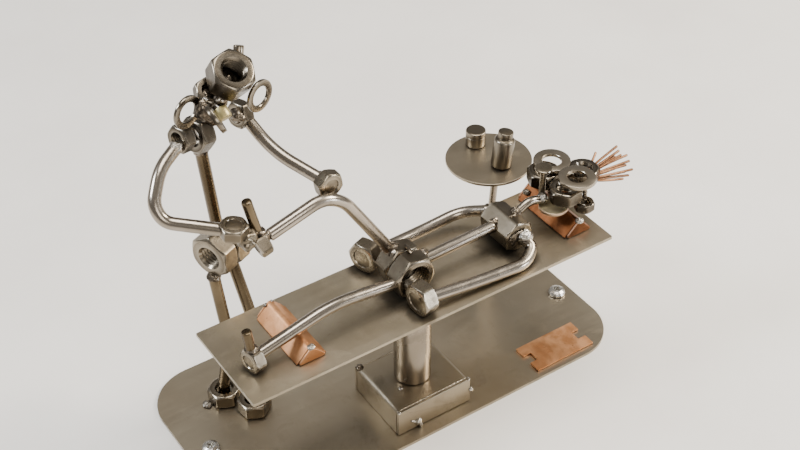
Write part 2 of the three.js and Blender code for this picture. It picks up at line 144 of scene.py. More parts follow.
def raw_steel(name, bright, dull, rough, grain=(1, 1, 1), mottle=70, heat=0.8, scratch=0.25, soot_and_shade=()):
    """Bare mild steel: mill mottling, fine drawn scratches, and brown heat tint by the welds. High heat turns to
    blackening: burnt steel by the welds, painted shade in nut bores, and part of a painted reflection on the table
    top's sides; the optional table marks are sooty spatter with painted shade.
    """
    f = Finish(name)
    mottled = f.noise(mottle, 4, 0.5).between(0.35, 0.68)
    smut = f.noise(mottle * 3.1, 4, 0.6, distortion=0.4).between(0.52, 0.74)
    drawn = f.noise(700, 2, 0.5, f.stretched(*grain))
    hot = f.painted("heat")
    edge = f.painted("edge")
    patch = (hot + (f.noise(120, 2) - 0.5) * 0.3).between(0.25, 0.95)
    colour = f.mix(mottled, dull, bright)
    colour = f.mix(smut * 0.3, colour, SMUT)
    # Blackening where heat runs high: burnt steel by the welds, painted shade in nut bores (heat 1.2) and on the
    # table top's sides (0.97).
    burnt_and_shaded = hot.between(0.8, 1.1)
    colour = f.mix(patch * heat, colour, HEAT_BROWN)
    colour = f.mix(burnt_and_shaded * 0.95, colour, BURNT_AND_SHADE_BLACK)
    colour = f.mix(edge * 0.3, colour, WORN_STEEL)
    roughness = (drawn - 0.5) * 0.1 + (smut * 0.12 + rough) - mottled * 0.04 - edge * 0.06 + burnt_and_shaded * 0.3
    # Dark marks around the given points on the table: sooty spatter, and painted shade under the hips, hands,
    # chest and foot.
    if soot_and_shade:
        sooty_shade_spread = f.near(soot_and_shade) + (f.noise(230, 4, 0.6) - 0.5) * 0.5
        stain = f.noise(900, 3, 0.6).between(0.58, 0.72) * f.noise(60, 2).between(0.4, 0.6)
        colour = f.mix(stain * 0.35, colour, OLIVE_STAIN)
        charred_and_shaded = sooty_shade_spread.between(0.3, 0.95)
        colour = f.mix(charred_and_shaded * 0.85, colour, SOOT_AND_SHADE)
        roughness = roughness + charred_and_shaded * 0.15
    height = drawn * scratch + mottled * 0.3
    return f.shade(colour, roughness, 1.0, f.bump(height, 0.00002, scratch + 0.05))


def copper_sheet(name, dull, bright):
    f = Finish(name)
    cloud = f.noise(120, 5, 0.6, distortion=0.4).between(0.35, 0.7)
    brushed = f.noise(1400, 3, 0.6, f.stretched(1, 0.06, 1))
    spots = f.noise(520, 4, 0.65).between(0.62, 0.76)
    colour = f.mix(cloud, dull, bright)
    colour = f.mix(spots * 0.6, colour, (0.20, 0.085, 0.045))
    colour = f.mix(f.painted("heat") * 0.8, colour, (0.22, 0.10, 0.06))
    colour = f.mix(f.painted("edge") * 0.5, colour, (0.92, 0.62, 0.44))
    roughness = 0.44 + (brushed - 0.5) * 0.22 + spots * 0.2 + cloud * 0.06
    return f.shade(colour, roughness, 1.0, f.bump(brushed * 0.5 + cloud, 0.00003, 0.6))


def weld_metal(name, bright):
    f = Finish(name)
    scale = f.noise(900, 5, 0.7)
    sooty = f.noise(330, 4, 0.6, distortion=0.8).between(0.42, 0.66)
    if bright:
        light, dark = (0.50, 0.47, 0.42), (0.14, 0.115, 0.09)
    else:
        light, dark = (0.20, 0.165, 0.125), (0.035, 0.028, 0.022)
    colour = f.mix(sooty, light, dark)
    roughness = 0.24 + sooty * 0.3 + (scale - 0.5) * 0.2
    return f.shade(colour, roughness, 1.0, f.bump(scale * 0.5 + sooty, 0.00004, 0.5))


def zinc(name):
    f = Finish(name)
    flow = f.noise(700, 3, 0.5)
    dirt = f.noise(260, 4, 0.6).between(0.52, 0.7)
    colour = f.mix(dirt, (0.62, 0.60, 0.56), (0.30, 0.28, 0.24))
    colour = f.mix(f.painted("edge") * 0.5, colour, (0.85, 0.83, 0.80))
    return f.shade(colour, 0.27 + dirt * 0.22 + (flow - 0.5) * 0.1, 1.0, f.bump(flow, 0.00003, 0.5))


def pale_floor(name):
    f = Finish(name)
    soft = f.noise(9, 5, 0.6)
    colour = f.mix(soft.between(0.3, 0.7), (0.77, 0.735, 0.69), (0.82, 0.79, 0.745))
    return f.shade(colour, 0.62 + (soft - 0.5) * 0.1, 0.0, f.bump(f.noise(420, 4, 0.6), 0.0002, 0.25))


NUT_STEEL = raw_steel("nut_steel", (0.25, 0.21, 0.155), (0.13, 0.106, 0.075), 0.31, mottle=80)
ROD_STEEL = raw_steel("rod_steel", (0.40, 0.35, 0.295), (0.27, 0.23, 0.18), 0.25,
                      mottle=30, heat=0.9, scratch=0.02)
BROWNED_ROD = raw_steel("browned_rod", (0.17, 0.13, 0.08), (0.085, 0.062, 0.036), 0.27,
                        mottle=30, heat=0.9, scratch=0.02)
# the same blackened finish for nuts and for sheet, which are in different slots
BLACKENED = {"bright": (0.14, 0.115, 0.083), "dull": (0.06, 0.048, 0.034), "rough": 0.30, "mottle": 80}
DARK_NUT = raw_steel("dark_nut", **BLACKENED)
DARK_SHEET = raw_steel("dark_sheet", **BLACKENED)
SHEET_STEEL = raw_steel("sheet_steel", (0.40, 0.345, 0.26), (0.31, 0.26, 0.19), 0.38,
                        grain=(0.05, 1, 1), mottle=26, heat=0.7, scratch=0.35)
# soot and spatter on the table where the hips, the hands, the chest and the foot are welded down, darkened further
# as painted shade under those parts
TABLE_LEVEL = 0.0663
BURNS_AND_SHADE = [((x, y, TABLE_LEVEL), reach) for x, y, reach in (
    (-0.006, -0.024, 0.024), (0.044, -0.022, 0.021), (0.045, -0.036, 0.013),
    (-0.009, -0.040, 0.011), (-0.013, -0.004, 0.013), (-0.079, -0.030, 0.009))]
TABLE_STEEL = raw_steel("table_steel", (0.42, 0.36, 0.27), (0.29, 0.245, 0.175), 0.40,
                        grain=(0.05, 1, 1), mottle=34, heat=0.9, scratch=0.35, soot_and_shade=BURNS_AND_SHADE)
LENS_STEEL = raw_steel("lens_steel", (0.30, 0.255, 0.195), (0.20, 0.165, 0.12), 0.36, mottle=70)
TURNED = {"bright": (0.15, 0.125, 0.092), "dull": (0.10, 0.082, 0.057), "rough": 0.38,
          "grain": (1, 1, 6), "mottle": 50}
TURNED_STEEL = raw_steel("turned_steel", **TURNED)
BOTTLE_STEEL = raw_steel("bottle_steel", **TURNED)
COPPER = copper_sheet("copper_sheet", (0.56, 0.255, 0.11), (0.76, 0.41, 0.21))
# The pillow's copper is tarnished, and darkened further as painted shade from the head and a painted reflection of
# the dark nuts.
PILLOW_COPPER_TARNISH_AND_SHADE = copper_sheet("pillow_copper_tarnish_and_shade", (0.11, 0.038, 0.013), (0.26, 0.105, 0.045))
STRAW = copper_sheet("straw_metal", (0.36, 0.29, 0.13), (0.50, 0.42, 0.21))
HAIR_COPPER = copper_sheet("hair_copper", (0.15, 0.07, 0.035), (0.36, 0.20, 0.11))
STRAW_STEEL = copper_sheet("tempered_steel", (0.36, 0.31, 0.20), (0.52, 0.45, 0.30))
BRIGHT_WELD = weld_metal("bright_weld", True)
DARK_WELD = weld_metal("dark_weld", False)
ZINC = zinc("zinc_screw")
SLOT = {finish: slot for slot, finishes in {
    "nut_steel": (NUT_STEEL, DARK_NUT, TURNED_STEEL),
    "rod_steel": (ROD_STEEL, BROWNED_ROD, BOTTLE_STEEL),
    "sheet_steel": (SHEET_STEEL, TABLE_STEEL, LENS_STEEL, STRAW_STEEL, DARK_SHEET),
    "copper": (COPPER, HAIR_COPPER, PILLOW_COPPER_TARNISH_AND_SHADE, STRAW),
    "screw_steel": (ZINC,),
}.items() for finish in finishes}


# ---------------------------------------------------------------- making pieces
def piece(name, vertices, faces, finish, stands_for=None, smooth=35, edge=None, heat=None):
    """A finished mesh piece that rides on the sculpture's one body."""
    mesh = bpy.data.meshes.new(name)
    mesh.from_pydata([tuple(v) for v in vertices], [], faces)
    mesh.validate()
    bm = bmesh.new()
    bm.from_mesh(mesh)
    bmesh.ops.recalc_face_normals(bm, faces=bm.faces)
    bm.to_mesh(mesh)
    bm.free()
    # The heat attribute carries weld heat tint; nut bores and the table top's sides also use it for painted shade
    # and a painted reflection.
    for label, values in (("edge", edge), ("heat", heat)):
        layer = mesh.attributes.new(label, "FLOAT", "POINT")
        if values:
            layer.data.foreach_set("value", values)
    mesh.shade_smooth()
    mesh.set_sharp_from_angle(angle=math.radians(smooth))
    obj = bpy.data.objects.new(name, mesh)
    bpy.context.scene.collection.objects.link(obj)
    obj.data.materials.append(finish)
    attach(obj, "root")
    finish in SLOT
    if stands_for:
        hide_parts(stands_for)
    return obj


def middle(node):
    low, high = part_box(node)
    return (low + high) / 2


def aimed(direction, spin=0.0, centre=(0, 0, 0)):
    """The placing of a piece whose own Z axis points along a direction."""
    z = Vector(direction).normalized()
    x = UP.cross(z)
    x = x.normalized() if x.length > 1e-6 else Vector((1, 0, 0))
    y = z.cross(x)
    turn = Matrix((x, y, z)).transposed().to_4x4()
    return Matrix.Translation(Vector(centre)) @ turn @ Matrix.Rotation(math.radians(spin), 4, "Z")


def rings(sections, closed_ends=False, wrap=False):
    """Faces that join each ring of points to the next."""
    n = len(sections[0])
    faces = []
    last = len(sections) if wrap else len(sections) - 1
    for i in range(last):
        a, b = i * n, ((i + 1) % len(sections)) * n
        faces += [(a + j, a + (j + 1) % n, b + (j + 1) % n, b + j) for j in range(n)]
    if closed_ends:
        faces += [tuple(range(n)), tuple(range((len(sections) - 1) * n, len(sections) * n))]
    return faces


def flat(sections):
    return [v for ring in sections for v in ring]


def turned(name, profile, place, finish, stands_for=None, sides=56, edges=(), smooth=35, wrap=False):
    """A lathe-turned piece: profile is (radius, height) in millimetres."""
    sections = []
    for r, z in profile:
        sections.append([place @ (Vector((r * math.cos(t), r * math.sin(t), z)) * MM)
                         for t in (2 * math.pi * j / sides for j in range(sides))])
    worn = [1.0 if i in edges else 0.0 for i in range(len(profile)) for _ in range(sides)]
    return piece(name, flat(sections), rings(sections, not wrap, wrap), finish, stands_for, smooth,
                 edge=worn)


# ---------------------------------------------------------------- nuts
NUT_SIZES = {                    # across flats, thickness, bore, thread pitch
    "M5": (8, 4, 4.2, 0.8), "M6": (10, 5, 5, 1.0), "M8": (13, 6.5, 6.7, 1.25),
    "M10": (17, 8.2, 8.5, 1.5), "hip": (17, 8.2, 10.6, 1.2), "head": (15.4, 10, 8.2, 1.5),
    "long": (13, 18.5, 6.7, 1.25),
}
NUT_SIDES = 96


def nut(node, size, direction, spin=0.0, heat=0.35, finish=NUT_STEEL):
    """A hexagon nut with chamfered ends, softened corners and a cut thread."""
    flats, thick, bore, pitch = NUT_SIZES[size]
    half, ring_r = thick / 2, 0.472 * flats
    place = aimed(direction, spin, middle(node))
    hexagon = []
    for j in range(NUT_SIDES):
        t = math.radians(360 * j / NUT_SIDES)
        across = flats / 2 / math.cos((t % (math.pi / 3)) - math.pi / 6)
        hexagon.append((t, min(across, flats / math.sqrt(3) - 0.10)))
    drop = math.tan(math.radians(30))
    root = bore / 2 + 0.54 * pitch
    mouth = root + 0.12
    turns = int((thick - 1.3 * pitch) / pitch)
    start = turns * pitch / 2
    profile = [("r", mouth, half, 1), ("r", ring_r - 0.25, half, 0), ("r", ring_r, half - 0.04, 1),
               ("hex", -0.12, 0.0, 0.7), ("hex", 0.0, 0.14, 0.5), ("hex", 0.0, 1.0, 0),
               ("low", 0.0, 1.0, 0), ("low", 0.0, 0.14, 0.5), ("low", -0.12, 0.0, 0.7),
               ("r", ring_r, 0.04 - half, 1), ("r", ring_r - 0.25, -half, 0), ("r", mouth, -half, 1)]
    thread = [("r", root if k % 2 else bore / 2, -start + k * pitch / 2, 0.0 if k % 2 else 0.5)
              for k in range(2 * turns + 1)]
    sections, worn, hot = [], [], []
    for kind, a, b, wear in profile + thread:
        ring = []
        for t, across in hexagon:
            if kind == "r":
                r, z = a, b
            else:
                r = across + a
                z = max(0.15, half - (across - ring_r) * drop - b - 0.02)
                z = z if kind == "hex" else -z
            ring.append(place @ (Vector((r * math.cos(t), r * math.sin(t), z)) * MM))
            worn.append(wear)
            # Bore faces get heat 1.2, which raw_steel turns black: painted shade deep inside the bore. The other
            # faces carry weld heat tint.
            bored = kind == "r" and a < ring_r - 0.5 and abs(b) < half - 0.01
            hot.append(1.2 if bored else heat + 0.4 * (noise.noise(ring[-1] * 160) - 0.1))
        sections.append(ring)
    return piece(f"{node}_threaded", flat(sections), rings(sections, wrap=True), finish, node, 28,
                 edge=worn, heat=hot)


# ---------------------------------------------------------------- rods
low_top, high_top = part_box("table_top")
TABLE_AT = Vector(((low_top.x + high_top.x) / 2, (low_top.y + high_top.y) / 2, high_top.z))
GROUND_AT = Vector((middle("pedestal_tube").x, middle("pedestal_tube").y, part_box("base_plate")[1].z))


def smooth_route(points, bend, step):
    """Even points along a line through the corners, each corner rounded off."""
    dense = [points[0]]
    for i in range(1, len(points) - 1):
        back, ahead = points[i - 1] - points[i], points[i + 1] - points[i]
        reach = min(bend, back.length / 2, ahead.length / 2)
        start, end = points[i] + back.normalized() * reach, points[i] + ahead.normalized() * reach
        dense += [start.lerp(points[i], s).lerp(points[i].lerp(end, s), s)
                  for s in (k / 10 for k in range(11))]
    dense.append(points[-1])
    lengths = [0.0]
    for a, b in zip(dense, dense[1:]):
        lengths.append(lengths[-1] + (b - a).length)
    count = max(3, round(lengths[-1] / step))
    route, k = [], 0
    for i in range(count + 1):
        want = lengths[-1] * i / count
        while k < len(dense) - 2 and lengths[k + 1] < want:
            k += 1
        span = lengths[k + 1] - lengths[k]
        route.append(dense[k].lerp(dense[k + 1], (want - lengths[k]) / span if span else 0.0))
    return route


def tube_mesh(route, radius, sides, wobble=0.0, rounding=0.35):
    """Rings of a bar that follows a route, with eased ends."""
    tangents = [(route[min(i + 1, len(route) - 1)] - route[max(i - 1, 0)]).normalized()
                for i in range(len(route))]
    side = tangents[0].orthogonal().normalized()
    stations = [(0, 1 - rounding, 0.0), (0, 1 - rounding * 0.3, rounding * 0.3), (0, 1.0, rounding)]
    stations += [(i, 1.0, 0.0) for i in range(1, len(route) - 1)]
    last = len(route) - 1
    stations += [(last, 1.0, -rounding), (last, 1 - rounding * 0.3, -rounding * 0.3),
                 (last, 1 - rounding, 0.0)]
    sections = []
    for i, share, shift in stations:
        t = tangents[i]
        side = (side - t * side.dot(t)).normalized()
        other = t.cross(side)
        centre = route[i] + t * shift * radius
        ring = []
        for j in range(sides):
            a = 2 * math.pi * j / sides
            out = side * math.cos(a) + other * math.sin(a)
            dent = 1 + wobble * noise.noise((centre + out * radius) * 300)
            ring.append(centre + out * radius * share * dent)
        sections.append(ring)
    return sections


def rod(node, origin, points, diameter=5.0, bend=9.0, tint=0.15, heat_reach=11.0, finish=ROD_STEEL):
    """A bent limb rod, browned near both welded ends."""
    route = smooth_route([origin + Vector(p) * MM for p in points], bend * MM, 0.0011)
    sections = tube_mesh(route, diameter / 2 * MM, 24, wobble=0.0015)
    ends = (route[0], route[-1])
    hot = [tint + (0.95 - tint) * max(0.0, 1 - min((v - e).length for e in ends) / (heat_reach * MM))
           for v in flat(sections)]
    worn = [0.0] * len(hot)
    return piece(f"{node}_bar", flat(sections), rings(sections, True), finish, node, 40,
                 edge=worn, heat=hot)


# ---------------------------------------------------------------- sheet pieces
def rounded(outline, radius, steps=5):
    """The outline with each corner turned into a small arc."""
    points, n = [], len(outline)
    for i in range(n):
        here = Vector(outline[i])
        back, ahead = Vector(outline[i - 1]) - here, Vector(outline[(i + 1) % n]) - here
        reach = min(radius, back.length / 2.01, ahead.length / 2.01)
        start, end = here + back.normalized() * reach, here + ahead.normalized() * reach
        for k in range(steps + 1):
            s = k / steps
            points.append(start.lerp(here, s).lerp(here.lerp(end, s), s))
    return points


def shrunk(outline, amount):
    """The outline drawn in by an amount, corner by corner."""
    inner, n = [], len(outline)
    for i in range(n):
        a = (outline[i] - outline[i - 1]).normalized()
        b = (outline[(i + 1) % n] - outline[i]).normalized()
        inward = Vector((-a.y - b.y, a.x + b.x))
        size = max(inward.length_squared / 2, 0.3)
        inner.append(outline[i] + inward * amount / size)
    return inner


def sheet(name, outline, thick, place, finish, stands_for=None, ease=0.2, wear=0.35, brown=0.0):
    """A cut sheet whose edges are eased all the way round."""
    layers = [(ease, 0.0, 0.0), (0.0, ease, wear), (0.0, thick - ease, wear), (ease, thick, wear)]
    sections, worn = [], []
    for inset, height, mark in layers:
        ring = shrunk(outline, inset) if inset else outline
        sections.append([place @ (Vector((p.x, p.y, height)) * MM) for p in ring])
        worn += [mark * (0.6 + 0.8 * abs(noise.noise(v * 210))) for v in sections[-1]]
    inner = [place @ (Vector((p.x, p.y, h)) * MM)
             for h in (0.0, thick) for p in shrunk(outline, ease * 2.4)]
    n = len(outline)
    sections = [inner[:n]] + sections + [inner[n:]]
    worn = [0.0] * n + worn + [0.0] * n
    # The side layers take the brown value as heat; on the table top this makes the sides darker and browner, a
    # painted reflection of the wooden board.
    browned = [0.0] * n + [0.0] * n + [brown] * (2 * n) + [0.0] * (2 * n)
    return piece(name, flat(sections), rings(sections, True), finish, stands_for, 40,
                 edge=worn, heat=browned)


def box_outline(x, y):
    return [(-x / 2, -y / 2), (x / 2, -y / 2), (x / 2, y / 2), (-x / 2, y / 2)]


def carried(node, finish, ease=0.15):
    """A piece that keeps its own mesh, with its edges eased and a finish on it."""
    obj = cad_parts[node]
    bevel = obj.modifiers.new("eased_edges", "BEVEL")
    bevel.width, bevel.segments, bevel.limit_method = ease * MM, 2, "ANGLE"
    bevel.angle_limit = math.radians(38)
    obj.data.materials.clear()
    obj.data.materials.append(finish)


# Values shared with the CAD source.
COPPER_SHEET = 0.8
PEDESTAL = {"width": 37, "depth": 34, "sheet": 1.5}
KNEE_ROLL = {"x": -56.7, "y": 0.8, "width": 13.6, "height": 6.9, "length": 33}
PILLOW = {"x": 75.7, "y": 3, "width": 14.5, "height": 7.5, "length": 34}
ALONG_Y = Matrix.Rotation(math.radians(90), 4, "X")      # a sheet's own Z runs towards -Y


def folded_ridge(node, finish, x, y, width, height, length):
    """Copper folded to a roof over two gables, with an open seam at each end."""
    w, slope = width / 2, math.atan2(height, width / 2)
    run, rise = COPPER_SHEET / math.sin(slope), COPPER_SHEET / math.cos(slope)
    roof = [(-w, 0), (run - w, 0), (0, height - rise), (w - run, 0), (w, 0), (0, height)]
    start = TABLE_AT + Vector((x, y + length / 2, 0.3)) * MM
    seam = COPPER_SHEET + 0.22
    outline = rounded(roof, 2.4, 7)
    place = Matrix.Translation(start - Vector((0, seam, 0)) * MM) @ ALONG_Y
    sheet(f"{node}_roof", outline, length - 2 * seam, place, finish, node, 0.14, 0.0)
    gable = rounded([(-w + 0.1, 0), (w - 0.1, 0), (0, height - 0.15)], 2.4, 7)
    for end, back in (("far", 0.0), ("near", length - COPPER_SHEET)):
        place = Matrix.Translation(start - Vector((0, back, 0)) * MM) @ ALONG_Y
        sheet(f"{node}_gable_{end}", gable, COPPER_SHEET, place, finish, None, 0.14, 0.4)


def upright(node, outline, finish, ease=0.2, wear=0.35, corner=0.5):
    """A flat sheet that lies level in the place of a CAD node."""
    low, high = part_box(node)
    place = Matrix.Translation(Vector(((low.x + high.x) / 2, (low.y + high.y) / 2, low.z)))
    # brown=0.97 paints the table top's sides darker and browner: a painted reflection of the wooden board.
    return sheet(f"{node}_sheet", rounded(outline, corner), (high.z - low.z) / MM, place, finish,
                 node, ease, wear, brown=0.97)


carried("base_plate", SHEET_STEEL, 0.3)
carried("pedestal_channel", SHEET_STEEL, 0.2)
for side in ("left", "right"):
    carried(f"base_screw_{side}", ZINC, 0.12)
upright("table_top", box_outline(173.5, 46.2), TABLE_STEEL, 0.15, 0.1, 0.8)
carried("name_plate", COPPER, 0.1)
for end in ("front", "back"):
    node = f"pedestal_{end}_plate"
    low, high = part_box(node)
    tall = (high.z - low.z) / MM
    place = Matrix.Translation(Vector(((low.x + high.x) / 2, high.y, (low.z + high.z) / 2))) @ ALONG_Y
    sheet(f"{node}_sheet", rounded(box_outline(PEDESTAL["width"], tall), 0.5), PEDESTAL["sheet"], place,
          SHEET_STEEL, node, 0.2, 0.6)
folded_ridge("knee_roll", COPPER, **KNEE_ROLL)
folded_ridge("pillow", PILLOW_COPPER_TARNISH_AND_SHADE, **PILLOW)


# ---------------------------------------------------------------- turned pieces
def shell(outer, bore, thick, ease=0.22):
    """Profile of a flat ring with rounded rims."""
    a, b, h = outer / 2, bore / 2, thick / 2
    return [(b + ease, h), (a - ease, h), (a - 0.3 * ease, h - 0.3 * ease), (a, h - ease), (a, ease - h),
            (a - 0.3 * ease, 0.3 * ease - h), (a - ease, -h), (b + ease, -h), (b, ease - h), (b, h - ease)]


def coin(diameter, thick, ease=0.2):
    r, h = diameter / 2, thick / 2
    return [(0.01, -h), (r - 2.5 * ease, -h), (r - ease, -h), (r - 0.3 * ease, 0.3 * ease - h),
            (r, ease - h), (r, h - ease), (r - 0.3 * ease, h - 0.3 * ease), (r - ease, h),
            (r - 2.5 * ease, h), (0.01, h)]


def lens(node, direction, size, finish):
    turned(f"{node}_ring", shell(*size), aimed(direction, 0, middle(node)), finish, node,
           edges=(1, 2, 3, 4, 5, 8, 9), wrap=True)


WASHER, EYE_RING = (16, 8.4, 1.6), (13, 8, 1.2)
FACE = (0.33, -0.94, -0.04)
for side in ("near", "far"):
    lens(f"patient_lens_{side}", UP, WASHER, LENS_STEEL)
for side in ("left", "right"):
    lens(f"therapist_lens_{side}", FACE, EYE_RING, DARK_SHEET)
turned("patient_jaw_coin", coin(12.5, 1.5), aimed(UP, 0, middle("patient_jaw_disc")), STRAW_STEEL,
       "patient_jaw_disc", edges=(3, 4, 5, 6))
turned("therapist_jaw_coin", coin(11.5, 1.8), aimed((0.88, -0.16, 0.44), 0, middle("therapist_jaw_disc")),
       DARK_SHEET, "therapist_jaw_disc", edges=(5, 6))
turned("therapist_nose_stub", coin(5.6, 4.6, 0.5), aimed((0.1, -0.75, -0.6), 0, middle("therapist_nose_pin")),
       STRAW, "therapist_nose_pin")
turned("therapist_top_peg", coin(4, 5, 0.35), aimed((0.3, 0.3, 0.9), 0, middle("therapist_top_stub")),
       BROWNED_ROD, "therapist_top_stub", edges=(4, 5))

low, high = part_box("patient_nose_nail")
nail_at = Matrix.Translation(Vector(((low.x + high.x) / 2, (low.y + high.y) / 2, low.z)))
turned("patient_nail", [(0.01, 0), (1.2, 0), (1.4, 0.3), (1.4, 12.4), (1.8, 12.75), (3.3, 12.95), (3.75, 13.2),
                        (3.8, 13.5), (3.65, 13.8), (3.1, 13.98), (1.2, 14), (0.01, 14)],
       nail_at, NUT_STEEL, "patient_nose_nail", edges=(6, 7, 8))

turned("tray_round", coin(38.6, 1.2, 0.18), aimed(UP, 0, middle("tray_disc")), SHEET_STEEL, "tray_disc",
       sides=120, edges=(3, 4, 5, 6))
jar = middle("balm_jar")
turned("balm_jar_turned", [(0.01, -3.8), (4.1, -3.8), (4.4, -3.6), (4.5, -3.3), (4.5, 0.9), (4.35, 1.05),
                           (4.35, 1.25), (4.5, 1.4), (4.5, 3.3), (4.4, 3.6), (4.1, 3.8), (3.2, 3.8), (0.01, 3.72)],
       aimed(UP, 0, jar), TURNED_STEEL, "balm_jar", edges=(2, 3, 8, 9))
low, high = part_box("oil_bottle")
lean = math.radians(7)
bottle_at = Matrix.Rotation(lean, 4, "Y")
bottle_at.translation = Vector((0.069, 0.012, low.z + 4.6 * MM * math.sin(lean)))
turned("oil_bottle_turned", [(0.01, 0), (4.2, 0), (4.5, 0.15), (4.6, 0.5), (4.6, 12.4), (4.45, 12.9), (4.0, 13.4),
                             (3.25, 13.7), (3.1, 14), (3.35, 14.2), (3.4, 14.5), (3.4, 16.5), (3.3, 16.85),
                             (3.0, 17), (0.01, 16.95)],
       bottle_at, BOTTLE_STEEL, "oil_bottle", edges=(4, 5, 11, 12))

low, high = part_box("pedestal_tube")
tall = (high.z - low.z) / MM
tube_at = Matrix.Translation(Vector(((low.x + high.x) / 2, (low.y + high.y) / 2, low.z)))
levels = [tall * k / 30 for k in range(31)]
levels[0], levels[-1] = 0.35, tall - 0.35
outside = [(8.0, z) for z in levels]
inside = [(7.75, tall), (6.8, tall), (6.5, tall - 0.3), (6.5, 0.3)]
tube = turned("pedestal_pipe", [(6.8, 0), (7.75, 0)] + outside + inside, tube_at, ROD_STEEL,
              "pedestal_tube", sides=72, wrap=True)
marks = [max(0.0, 1 - min(v.co.z - low.z, high.z - v.co.z) / 0.010) for v in tube.data.vertices]
tube.data.attributes["heat"].data.foreach_set("value", marks)


# ---------------------------------------------------------------- the nuts
ACROSS = (0, 1, 0)
SIDEWAYS = (math.cos(math.radians(24)), math.sin(math.radians(24)), 0)
SHOULDERS = (0.94, 0.3, -0.16)
HEAD_AXIS = (0.06, -0.6, 0.8)
NUTS = [
    ("patient_hip_nut_near", "hip", ACROSS, 13, 0.45), ("patient_hip_nut_far", "hip", ACROSS, 13, 0.5),
    ("patient_chest_nut", "long", ACROSS, 20, 0.45),
    ("patient_near_hand_nut", "M8", (1, 0.1, 0), 0, 0.3), ("patient_far_hand_nut", "M8", (1, 0.35, 0), 0, 0.35),
    ("patient_straight_foot_nut", "M6", (1, 0.2, 0), 0, 0.25),
    ("patient_raised_foot_nut", "M6", (1, 0, 0.3), 0, 0.5),
    ("patient_cheek_nut_near", "M8", UP, 7, 0.75), ("patient_cheek_nut_far", "M8", UP, 7, 0.75),
    ("patient_temple_nut", "M5", UP, 7, 0.6), ("patient_crown_nut", "M8", UP, 30, 0.75),
    ("therapist_hip_nut_right", "M10", SIDEWAYS, 30, 0.5), ("therapist_hip_nut_left", "M10", SIDEWAYS, 30, 0.5),
    ("therapist_foot_nut_right", "M8", UP, 35, 0.3), ("therapist_foot_nut_left", "M8", UP, 35, 0.3),
    ("therapist_chest_nut", "M8", SHOULDERS, 0, 0.7), ("therapist_shoulder_nut_right", "M6", SHOULDERS, 0, 0.6),
    ("therapist_shoulder_nut_left", "M6", SHOULDERS, 0, 0.45),
    ("therapist_hand_nut_right", "M6", (0.05, -0.1, 1), 0, 0.6),
    ("therapist_hand_nut_left", "M6", ACROSS, 20, 0.5),
    ("therapist_head_nut", "head", HEAD_AXIS, 10, 0.45), ("therapist_cheek_nut", "M6", HEAD_AXIS, 10, 0.6),
]
BLACKENED_NUTS = ("cheek", "crown", "temple", "head", "therapist_chest", "shoulder")
for entry in NUTS:
    blackened = any(word in entry[0] for word in BLACKENED_NUTS)
    nut(*entry, finish=DARK_NUT if blackened else NUT_STEEL)


def plug(name, node, size, direction, side, finish, sink=0.25):
    """Weld and rod end that fill a nut's bore up to one face."""
    _, thick, bore, pitch = NUT_SIZES[size]
    r, deep = bore / 2 + 0.75 * pitch, thick / 2 - sink
    profile = [(0.01, deep - 2.6), (r, deep - 2.6), (r, deep - 0.4), (r - 0.3, deep - 0.12), (r * 0.6, deep),
               (r * 0.3, deep + 0.05), (0.01, deep + 0.06)]
    axis = Vector(direction) * side
    turned(name, profile, aimed(axis, 0, middle(node)), finish)


plug("near_hand_end", "patient_near_hand_nut", "M8", (1, 0.1, 0), -1, NUT_STEEL)
plug("far_hand_end", "patient_far_hand_nut", "M8", (1, 0.35, 0), -1, NUT_STEEL)
plug("straight_foot_end", "patient_straight_foot_nut", "M6", (1, 0.2, 0), -1, NUT_STEEL)
plug("raised_foot_end", "patient_raised_foot_nut", "M6", (1, 0, 0.3), -1, NUT_STEEL)
plug("right_hand_end", "therapist_hand_nut_right", "M6", (0.05, -0.1, 1), 1, NUT_STEEL, 0.05)
plug("left_hand_end", "therapist_hand_nut_left", "M6", ACROSS, -1, NUT_STEEL)


# ---------------------------------------------------------------- the limbs
# heights of the hip and chest nuts' axes, which lie rolled 13 and 20 degrees off a flat
hip_top = 0.3 + 17 / math.sqrt(3) * math.cos(math.radians(17))
bust_top = 0.3 + 13 / math.sqrt(3) * math.cos(math.radians(10))
rod("patient_torso_rod", TABLE_AT, [(2, 0.2, hip_top), (41, 0.8, bust_top + 2.7)])
rod("patient_raised_leg", TABLE_AT,
    [(-5, 6, 14), (-27.5, 6, 50.5), (-36.5, 6, 55.6), (-60.2, 6, 48.6)], tint=0.3)
rod("patient_straight_leg", TABLE_AT,
    [(-9, -5, 9), (-36, -5.2, 12.3), (-45, -5.6, 12.3), (-75.6, -7.2, 6.6)])
rod("patient_straight_toe_rod", TABLE_AT, [(-77.8, -6.9, 9), (-78.8, -6.2, 19.8)], 4, finish=BROWNED_ROD)
rod("patient_raised_toe_rod", TABLE_AT, [(-64.2, 6.2, 51), (-67.5, 7, 67.5)], 4, finish=BROWNED_ROD)
rod("patient_near_arm", TABLE_AT,
    [(48, -8.5, 8), (51, -13.5, 5), (43.5, -19, 3), (22, -17.5, 3.4), (-3.4, -15.3, 4.8)])
rod("patient_far_arm", TABLE_AT, [(46, 10.6, 10), (38, 20, 6.8), (20, 20.5, 5), (-7.4, 18.7, 6)])
rod("patient_neck_rod", TABLE_AT, [(52.5, 1, 11.6), (60, 1.2, 15.2), (66, 0.8, 13.4)], 3.8, 4)
rod("therapist_leg_right", GROUND_AT,
    [(-68.5, 43.7, 0.3), (-68.5, 43.7, 8.5), (-66.5, 37, 39), (-66.8, 45, 70)],
    tint=0.5, finish=BROWNED_ROD)
rod("therapist_leg_left", GROUND_AT,
    [(-61, 31, 0.3), (-61, 31, 8.5), (-54, 37, 38), (-54.5, 42, 50), (-56.4, 49.6, 71)],
    tint=0.5, finish=BROWNED_ROD)
